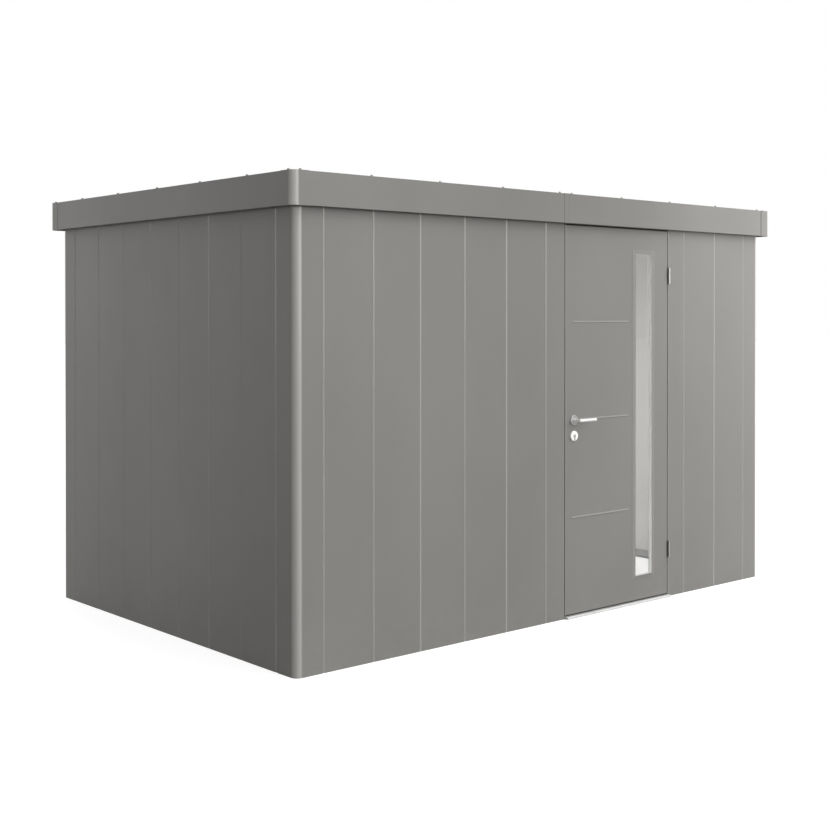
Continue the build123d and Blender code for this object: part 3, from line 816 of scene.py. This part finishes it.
@dataclass(frozen=True)
class SealStrip:
    """Half-round hollow-section rubber strip, shown by its outside."""

    half_width: float = 0.005
    depth: float = 0.0055
    sides: int = 20

    def add_to(self, shape: Shape, start: Point, end: Point, outward: Point) -> None:
        """Add one straight strip.

        Args:
            shape: Shape to add to.
            start: Start of the strip's foot line.
            end: End of the foot line.
            outward: Way the strip stands off its seat.
        """
        strip = bmesh.new()
        along = Vector(end) - Vector(start)
        up = Vector(outward)
        across = up.cross(along.normalized())
        turn = Matrix((across, up, along.normalized())).transposed().to_4x4()
        ring = bmesh.ops.create_circle(strip, cap_ends=True, segments=self.sides, radius=1.0)
        bmesh.ops.scale(strip, vec=(self.half_width, self.depth, 1.0), verts=ring["verts"])
        pull(strip, strip.faces[:], along.length)
        whole = strip.verts[:] + strip.edges[:] + strip.faces[:]
        cut = {"plane_co": (0, 0, 0), "plane_no": (0, 1, 0)}
        bmesh.ops.bisect_plane(strip, geom=whole, clear_inner=True, **cut)
        bmesh.ops.holes_fill(strip, edges=[edge for edge in strip.edges if edge.is_boundary])
        bmesh.ops.recalc_face_normals(strip, faces=strip.faces[:])
        join_shape(shape, strip, Matrix.Translation(start) @ turn)


@dataclass(frozen=True)
class RoundedPlate:
    """Small plate with rounded edges."""

    size: Point
    rounding: float

    def add_to(self, shape: Shape, middle: Point) -> None:
        """Add one plate.

        Args:
            shape: Shape to add to.
            middle: Middle of the plate.
        """
        plate = bmesh.new()
        bmesh.ops.create_cube(plate, size=1.0)
        bmesh.ops.scale(plate, vec=self.size, verts=plate.verts[:])
        soften(plate, plate.edges[:], self.rounding)
        join_shape(shape, plate, Matrix.Translation(middle))


@dataclass(frozen=True)
class GasketFrame:
    """Soft frame that beds a pane along its four edges."""

    width: float = 0.0025
    depth: float = 0.002
    rounding: float = 0.0006
    sharp: float = 1.0

    def add_to(self, shape: Shape, middle: Point, size: Pair, sense: float) -> None:
        """Add one frame that lies on the pane.

        Args:
            shape: Shape to add to.
            middle: Middle of the opening, on the pane's face.
            size: Width and height of the opening.
            sense: Way that the frame stands off the pane along Y.
        """
        ring = bmesh.new()
        bmesh.ops.create_grid(ring, x_segments=1, y_segments=1, size=0.5)
        bmesh.ops.scale(ring, vec=(size[0], size[1], 1.0), verts=ring.verts[:])
        middle_face = ring.faces[:]
        bmesh.ops.inset_region(
            ring, faces=middle_face, thickness=self.width, use_boundary=True, use_even_offset=True
        )
        bmesh.ops.delete(ring, geom=middle_face, context="FACES")
        pull(ring, ring.faces[:], self.depth)
        bmesh.ops.recalc_face_normals(ring, faces=ring.faces[:])
        top = self.depth - TOUCH
        rim = [edge for edge in ring.edges if all(vert.co.z > top for vert in edge.verts)]
        soften(ring, [edge for edge in rim if edge.calc_face_angle(0.0) > self.sharp], self.rounding)
        turn = Matrix.Rotation(math.copysign(math.pi / 2, -sense), 4, "X")
        join_shape(shape, ring, Matrix.Translation(middle) @ turn)


@dataclass
class WallDress(Dress):
    """Wall panels, corners, door posts and head, with the tapes in the panel joints."""

    front_joints: Spots = (-1.54, -1.26, -0.70, -0.14, 0.98, 1.54)
    back_joints: Spots = (-1.54, -1.26, -0.70, -0.14, 0.42, 0.98, 1.54)
    end_joints: Spots = (-0.98, -0.42, 0.14, 0.70, 0.98)
    tape_size: Point = (0.00096, 0.020, 2.040)
    tape_depth: float = 0.018
    tape_level: float = 1.065
    tape_rounding: float = 0.0003
    half_length: float = 1.690
    half_width: float = 1.130
    lined: tuple[str, ...] = (
        "corner_panel_front_left", "corner_panel_front_right", "corner_panel_back_right",
        "corner_panel_back_left", "front_panel_half", "front_panel_left", "front_panel_middle",
        "front_panel_right", "left_wall_panels", "right_wall_panels", "back_wall_panels",
    )
    plain: tuple[str, ...] = ("door_post_lock", "door_post_hinge", "door_head")

    def tapes(self) -> None:
        """Set the sealing tapes between the panel flanges."""
        shape = bmesh.new()
        thick, deep, tall = self.tape_size
        along = RoundedPlate((thick, deep, tall), self.tape_rounding)
        for joints, side in ((self.front_joints, -1.0), (self.back_joints, 1.0)):
            for x in joints:
                along.add_to(shape, (x, side * (self.half_width - self.tape_depth), self.tape_level))
        across = RoundedPlate((deep, thick, tall), self.tape_rounding)
        for y in self.end_joints:
            for side in (-1.0, 1.0):
                across.add_to(shape, (side * (self.half_length - self.tape_depth), y, self.tape_level))
        self.piece("joint_tapes", shape, self.finishes.rubber, Body.SHED, Slot.WALL)

    def build(self) -> None:
        """Dress the wall solids and set the tapes."""
        self.tapes()
        self.dress(self.finishes.wall, *self.lined)
        self.dress(self.finishes.frame_paint, *self.plain)


@dataclass
class FrameDress(Dress):
    """Floor frame, sill, roof edge rails and purlins, with the floor anchors."""

    anchor: SealingScrew = SealingScrew(0.013, 0.012, 0.0022, 0.0085, 0.0075, 0.0008)
    rail_level: float = 0.0025
    half_length: float = 1.657
    half_width: float = 1.097
    front_spots: Spots = (-1.45, -0.90, -0.20, 1.05, 1.45)
    back_spots: Spots = (-1.45, -0.70, 0.0, 0.70, 1.45)
    side_spots: Spots = (-0.75, 0.75)

    def anchors(self) -> None:
        """Set the bolts that hold the floor channel down."""
        shape = bmesh.new()
        spots = [(x, -self.half_width) for x in self.front_spots]
        spots += [(x, self.half_width) for x in self.back_spots]
        spots += [(side * self.half_length, y) for y in self.side_spots for side in (-1.0, 1.0)]
        for x, y in spots:
            self.anchor.add_to(shape, (x, y, self.rail_level), (0.0, 0.0, 1.0))
        self.piece("floor_anchors", shape, self.finishes.hinge, Body.SHED, Slot.STEEL)

    def build(self) -> None:
        """Dress the frame solids and set the anchors."""
        self.anchors()
        self.dress(self.finishes.channel, "floor_frame")
        self.dress(self.finishes.profile_x, "top_rail_front", "rear_gutter", "roof_purlins")
        self.dress(self.finishes.profile_y, "top_rail_left", "top_rail_right")
        self.dress(self.finishes.sill, "door_sill")


@dataclass
class RoofDress(Dress):
    """Roof sheets, seam caps and their screws."""

    screw: SealingScrew = SealingScrew()
    pans: int = 6
    edge: float = 1.72525
    half_width: float = 1.180
    high: float = 2.152
    fall: float = 0.035
    sheet: float = 0.0015
    rows: Spots = (-1.080, -0.381, 0.421, 1.070)
    pan_shares: Spots = (0.25, 0.75)

    def build(self) -> None:
        """Dress the roof solids and set the screws in the pans."""
        self.dress(self.finishes.roof, "roof_sheets", "roof_seam_caps")
        shape = bmesh.new()
        pitch = 2 * self.edge / self.pans
        upright = (0.0, self.fall, 2 * self.half_width)
        for row in self.rows:
            level = self.high - self.fall * (row + self.half_width) / (2 * self.half_width) + self.sheet
            for pan in range(self.pans):
                for share in self.pan_shares:
                    self.screw.add_to(shape, ((pan + share) * pitch - self.edge, row, level), upright)
        self.piece("roof_screws", shape, self.finishes.hinge, Body.SHED, Slot.STEEL)


@dataclass
class FasciaDress(Dress):
    """Fascia runs, corner and joint covers, with the screws along the cap, dark lines beside the covers
    as painted shadow and dark foam as painted shade.
    """

    screw: SealingScrew = SealingScrew()
    # Dark rubber lines beside the covers: painted shadow.
    seal: SealStrip = SealStrip(0.0018, 0.0008, 10)
    joint_shadow_line: SealStrip = SealStrip(0.0008, 0.0006, 10)
    half_length: float = 1.740
    half_width: float = 1.180
    foot: float = 2.056
    top: float = 2.205
    cover: float = 0.001
    cover_leg: float = 0.090
    front_joint: float = -0.020
    foam_length: float = 3.390
    foam_run: float = 2.255
    foam_width: float = 0.018
    foam_height: float = 0.026
    foam_inset: float = 0.039
    foam_level: float = 2.0765
    foam_rounding: float = 0.002
    inset: float = 0.012
    front_spots: Spots = (
        -1.690, -1.300, -0.890, -0.480, -0.077, 0.010, 0.400, 0.805, 1.218, 1.622,
    )
    back_spots: Spots = (
        -1.690, -1.300, -0.890, -0.480, -0.060, 0.060, 0.480, 0.890, 1.300, 1.690,
    )
    side_spots: Spots = (-1.135, -0.810, -0.405, 0.0, 0.405, 0.810, 1.135)
    names: tuple[str, ...] = (
        "fascia_front_left", "fascia_front_right", "fascia_left", "fascia_right", "fascia_back",
        "fascia_corners", "fascia_joint_covers",
    )

    def level(self, along: float, half: float) -> float:
        """Height of the cap so far from a side's middle, with the corner cover where it lies there."""
        return self.top + (self.cover if half - abs(along) < self.cover_leg else 0.0)

    def screws(self) -> None:
        """Set the screws along the cap."""
        shape = bmesh.new()
        up = (0.0, 0.0, 1.0)
        line = self.half_width - self.inset
        for spots, y in ((self.front_spots, -line), (self.back_spots, line)):
            for x in spots:
                self.screw.add_to(shape, (x, y, self.level(x, self.half_length)), up)
        line = self.half_length - self.inset
        for x in (-line, line):
            for y in self.side_spots:
                self.screw.add_to(shape, (x, y, self.level(y, self.half_width)), up)
        self.piece("fascia_screws", shape, self.finishes.fascia, Body.SHED, Slot.FASCIA)

    def seals(self) -> None:
        """Set dark rubber lines beside the right-hand corner covers and the joint cover, as painted
        shadow at the covers' lapped edges.
        """
        shape = bmesh.new()
        x = self.half_length - self.cover_leg - self.seal.half_width
        for front in (-1.0, 1.0):
            y = front * self.half_width
            self.seal.add_to(shape, (x, y, self.foot), (x, y, self.top), (0.0, front, 0.0))
        x, y = self.front_joint + self.joint_shadow_line.half_width, -self.half_width
        self.joint_shadow_line.add_to(shape, (x, y, self.foot), (x, y, self.top), (0.0, -1.0, 0.0))
        self.piece("cover_shadow_lines", shape, self.finishes.rubber, Body.SHED, Slot.FASCIA)

    def shade_foam(self) -> None:
        """Close the slot between fascia and walls with closing foam, kept dark as painted shade under
        the eaves.
        """
        shape = bmesh.new()
        thick, tall = self.foam_width, self.foam_height
        # Dark foam: a real closure, and painted shade under the eaves.
        front = RoundedPlate((self.foam_length, thick, tall), self.foam_rounding)
        end = RoundedPlate((thick, self.foam_run, tall), self.foam_rounding)
        for side in (-1.0, 1.0):
            front.add_to(shape, (0.0, side * (self.half_width - self.foam_inset), self.foam_level))
            end.add_to(shape, (side * (self.half_length - self.foam_inset), 0.0, self.foam_level))
        self.piece("eaves_shade_foam", shape, self.finishes.rubber, Body.SHED, Slot.FASCIA)

    def build(self) -> None:
        """Dress the fascia and set its screws, its dark lines of painted shadow by the covers, and its
        foam of painted shade.
        """
        self.dress(self.finishes.fascia, *self.names)
        self.screws()
        self.seals()
        self.shade_foam()


@dataclass
class DoorDress(Dress):
    """Door leaf, window, hinges, roses, lock and levers, with the rubber seals."""

    stop_line: float = -1.084
    stop_sides: Pair = (0.0105, 0.8295)
    stop_ends: Pair = (0.040, 2.034)
    head_ends: Pair = (0.020, 0.820)
    head_level: float = 2.0435
    sweep_line: float = -1.1265
    sweep_ends: Pair = (0.010, 0.830)
    sweep_level: float = 0.0175
    trim_border: float = 0.024
    seal: SealStrip = SealStrip()
    sweep: SealStrip = SealStrip(0.0025, 0.0038)
    gasket: GasketFrame = GasketFrame()
    flush: FlushScrew = FlushScrew()
    hinge_middles: Spots = (0.268, 1.7995)
    strap_spots: Spots = (-0.030, 0.0, 0.030)
    strap_line: float = -1.109
    leaf_strap: float = 0.836
    post_strap: float = 0.838
    # Dark slips beside the hinge knuckles: painted shadow.
    shadow_slip: RoundedPlate = RoundedPlate((0.0055, 0.0016, 0.100), 0.0005)
    shadow_slip_spot: Pair = (0.8308, -1.1308)
    strike: RoundedPlate = RoundedPlate((0.0025, 0.026, 0.140), 0.0006)
    strike_spot: Point = (-0.00285, -1.110, 0.988)

    def hinge_screws(self) -> None:
        """Set the flush screws in the straps of both hinge halves."""
        straps = (
            ("leaf_strap_screws", self.leaf_strap, (1.0, 0.0, 0.0), Body.DOOR),
            ("post_strap_screws", self.post_strap, (-1.0, 0.0, 0.0), Body.SHED),
        )
        for name, x, direction, body in straps:
            shape = bmesh.new()
            for middle in self.hinge_middles:
                for spot in self.strap_spots:
                    self.flush.add_to(shape, (x, self.strap_line, middle + spot), direction)
            self.piece(name, shape, self.finishes.hinge, body, Slot.STEEL)

    def shadow_slips_and_strike_box(self) -> None:
        """Set the dark slips beside the hinge knuckles, a painted shadow in the gap there, and the box
        behind the strike holes.
        """
        shape = bmesh.new()
        for middle in self.hinge_middles:
            self.shadow_slip.add_to(shape, (*self.shadow_slip_spot, middle))
        self.piece("hinge_shadow_slips", shape, self.finishes.rubber, Body.DOOR, Slot.DOOR)
        shape = bmesh.new()
        self.strike.add_to(shape, self.strike_spot)
        self.piece("strike_box", shape, self.finishes.rubber, Body.SHED, Slot.FRAME)

    def seals(self) -> None:
        """Set the stop seals round the doorway and the sweep under the leaf."""
        shape = bmesh.new()
        out = (0.0, -1.0, 0.0)
        y = self.stop_line
        runs = [[(x, y, z) for z in self.stop_ends] for x in self.stop_sides]
        runs.append([(x, y, self.head_level) for x in self.head_ends])
        for start, end in runs:
            self.seal.add_to(shape, start, end, out)
        self.piece("doorway_seals", shape, self.finishes.rubber, Body.SHED, Slot.FRAME)
        shape = bmesh.new()
        start, end = ((x, self.sweep_line, self.sweep_level) for x in self.sweep_ends)
        self.sweep.add_to(shape, start, end, (0.0, 0.0, -1.0))
        self.piece("door_sweep", shape, self.finishes.rubber, Body.DOOR, Slot.DOOR)

    def glazing(self) -> None:
        """Bed the pane in pale silicone on both sides."""
        low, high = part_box("window_pane")
        inner_low, inner_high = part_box("window_trim_outer")
        opening = inner_high - inner_low
        size = (opening.x - 2 * self.trim_border, opening.z - 2 * self.trim_border)
        shape = bmesh.new()
        middle = (low + high) / 2
        self.gasket.add_to(shape, (middle.x, low.y, middle.z), size, -1.0)
        self.gasket.add_to(shape, (middle.x, high.y, middle.z), size, 1.0)
        self.piece("glazing_gaskets", shape, self.finishes.silicone, Body.DOOR, Slot.GLASS)

    def build(self) -> None:
        """Set seals, gaskets, screws and slips, and dress the door solids."""
        self.seals()
        self.glazing()
        self.hinge_screws()
        self.shadow_slips_and_strike_box()
        self.dress(self.finishes.door, "door_outer_skin", "door_inner_skin")
        self.dress(self.finishes.trim, "window_trim_outer", "window_trim_inner")
        self.dress(self.finishes.glass, "window_pane")
        self.dress(self.finishes.hinge, "hinge_frame_halves", "hinge_door_halves")
        self.dress(self.finishes.rose, "door_roses")
        self.dress(self.finishes.steel, "lever_outside", "lever_inside")
        self.dress(self.finishes.lock, "lock_cylinder", "lock_face")


@dataclass(frozen=True)
class SoftSun:
    """One even, soft light from a direction."""

    name: str
    toward: Point
    strength: float
    spread: float

    def build(self) -> None:
        """Set up the light."""
        lamp = bpy.data.lights.new(self.name, "SUN")
        lamp.energy = self.strength
        lamp.angle = math.radians(self.spread)
        holder = bpy.data.objects.new(self.name, lamp)
        holder.rotation_euler = (-Vector(self.toward)).to_track_quat("-Z", "Y").to_euler()
        bpy.context.scene.collection.objects.link(holder)


@dataclass(frozen=True)
class SoftLamp:
    """One large soft lamp aimed at a point."""

    name: str
    spot: Point
    aim: Point
    size: Pair
    power: float
    spread: float = 180.0

    def build(self) -> None:
        """Set up the lamp."""
        lamp = bpy.data.lights.new(self.name, "AREA")
        lamp.shape = "RECTANGLE"
        lamp.size, lamp.size_y = self.size
        lamp.energy = self.power
        lamp.spread = math.radians(self.spread)
        holder = bpy.data.objects.new(self.name, lamp)
        holder.location = self.spot
        way = Vector(self.aim) - Vector(self.spot)
        holder.rotation_euler = way.to_track_quat("-Z", "Y").to_euler()
        holder.visible_camera = False
        holder.visible_glossy = False
        holder.visible_transmission = False
        bpy.context.scene.collection.objects.link(holder)


@dataclass
class Studio:
    """Pale floor, white surroundings and soft lamps."""

    ambient: float = 0.06
    backdrop: Point = (0.55, 0.61, 0.57)
    gloss_fade: tuple[Pair, Pair] = ((0.05, 0.45), (0.15, 1.0))
    white: Colour = (1.0, 1.0, 1.0)
    floor_half: float = 60.0
    floor_glow: float = 0.84
    floor_through: float = 0.74
    floor_gloss: float = 0.20
    floor_tone: Colour = (0.25, 0.25, 0.25)
    floor_seen: Colour = (0.36, 0.36, 0.36)
    lamps: tuple[SoftSun | SoftLamp, ...] = (
        SoftSun("key_soft", (0.15, -0.83, 0.53), 2.05, 70.0),
        SoftSun("key_front", (0.14, -0.99, 0.03), 0.86, 20.0),
        SoftSun("fill_front", (-0.21, -0.98, 0.03), 0.48, 20.0),
        SoftSun("fill_corner", (-0.53, -0.85, 0.03), 0.34, 20.0),
        SoftSun("fill_side", (-0.79, -0.62, 0.03), 0.48, 20.0),
        SoftSun("fill_left", (-0.99, -0.09, 0.03), 0.24, 16.0),
        SoftSun("top_soft", (0.25, 0.20, 0.94), 0.5, 60.0),
        SoftSun("back_right_soft", (0.75, 0.55, 0.36), 0.9, 60.0),
        SoftSun("back_soft", (0.32, 0.78, 0.54), 0.7, 30.0),
        SoftLamp("right_soft", (3.3, -2.9, 2.3), (1.5, -1.1, 1.5), (1.2, 2.4), 108.0),
        SoftLamp("left_soft", (-4.2, 2.6, 1.4), (-1.7, 1.0, 1.2), (1.2, 2.4), 24.0),
        SoftLamp("room_soft", (-1.3, 0.1, 1.05), (1.6, 0.1, 1.0), (1.6, 1.8), 29.0, 80.0),
    )

    def sky(self) -> None:
        """White surroundings for eye and glass, fading to the front for gloss, dim for matt faces."""
        bench = NodeBench(bpy.data.worlds.new("studio"), "ShaderNodeOutputWorld")
        rays = bench.add("ShaderNodeLightPath").outputs
        way = bench.add("ShaderNodeVectorMath", {"operation": "DOT_PRODUCT"})
        bench.feed(way, 0, bench.add("ShaderNodeTexCoord").outputs["Generated"])
        bench.feed(way, 1, self.backdrop)
        fade = bench.carry(way.outputs["Value"], *self.gloss_fade)
        seen = bench.math("MAXIMUM", rays["Is Camera Ray"], rays["Is Transmission Ray"])
        shown = bench.math("MAXIMUM", seen, bench.math("MULTIPLY", rays["Is Glossy Ray"], fade))
        strength = bench.math("MAXIMUM", shown, self.ambient)
        shine = bench.add("ShaderNodeBackground", Color=opaque(self.white), Strength=strength)
        bpy.context.scene.world = bench.close(shine)

    def floor_material(self) -> Material:
        """Pale floor that meets the white surroundings and keeps a soft shadow.

        Returns:
            The finished material.
        """
        bench = start_bench("pale_floor")
        rays = bench.add("ShaderNodeLightPath").outputs
        eye = bench.math("MAXIMUM", rays["Is Camera Ray"], rays["Is Transmission Ray"])
        tone = bench.mix(eye, opaque(self.floor_tone), opaque(self.floor_seen))
        shine = bench.math("MULTIPLY", rays["Is Glossy Ray"], self.floor_gloss)
        glows = {"Is Camera Ray": self.floor_glow, "Is Transmission Ray": self.floor_through}
        for ray, glow in glows.items():
            shine = bench.math("MAXIMUM", bench.math("MULTIPLY", rays[ray], glow), shine)
        mixed = bench.add("ShaderNodeAddShader")
        bench.feed(mixed, 0, bench.add("ShaderNodeBsdfDiffuse", Color=tone).outputs[0])
        bench.feed(mixed, 1, bench.add("ShaderNodeEmission", Strength=shine).outputs[0])
        return bench.close(mixed)

    def build(self) -> None:
        """Set up floor, surroundings and lamps."""
        self.sky()
        shape = bmesh.new()
        bmesh.ops.create_grid(shape, x_segments=1, y_segments=1, size=self.floor_half)
        mesh = bpy.data.meshes.new("studio_floor")
        shape.to_mesh(mesh)
        shape.free()
        mesh.materials.append(self.floor_material())
        floor = bpy.data.objects.new("studio_floor", mesh)
        bpy.context.scene.collection.objects.link(floor)
        for lamp in self.lamps:
            lamp.build()


@dataclass
class PhotoCamera:
    """Camera at the photograph's viewing angle."""

    spot: Point = (-4.969, -5.842, 1.584)
    turn: float = math.radians(-41.987)
    tilt: float = math.radians(90.0 - 0.456)
    lens: float = 57.24
    shift: Pair = (-0.0562, -0.1076)
    sensor: float = 36.0
    reach: float = 200.0

    def build(self) -> None:
        """Set up the camera and the plain view transform."""
        data = bpy.data.cameras.new("photo_camera")
        data.sensor_width = self.sensor
        data.lens = self.lens
        data.shift_x, data.shift_y = self.shift
        data.clip_end = self.reach
        holder = bpy.data.objects.new("photo_camera", data)
        holder.location = self.spot
        holder.rotation_euler = (self.tilt, 0.0, self.turn)
        bpy.context.scene.collection.objects.link(holder)
        bpy.context.scene.camera = holder
        bpy.context.scene.view_settings.view_transform = "Standard"


def main() -> None:
    """Build every sub-assembly's looks in order, then the studio and the camera."""
    logging.basicConfig(level=logging.INFO, format="%(name)s: %(message)s")
    finishes = Finishes()
    nodes = frame["nodes"]
    for dress in (FrameDress, WallDress, RoofDress, FasciaDress, DoorDress):
        dress(finishes, nodes).build()
    Studio().build()
    PhotoCamera().build()


if __name__ == "__main__":
    main()
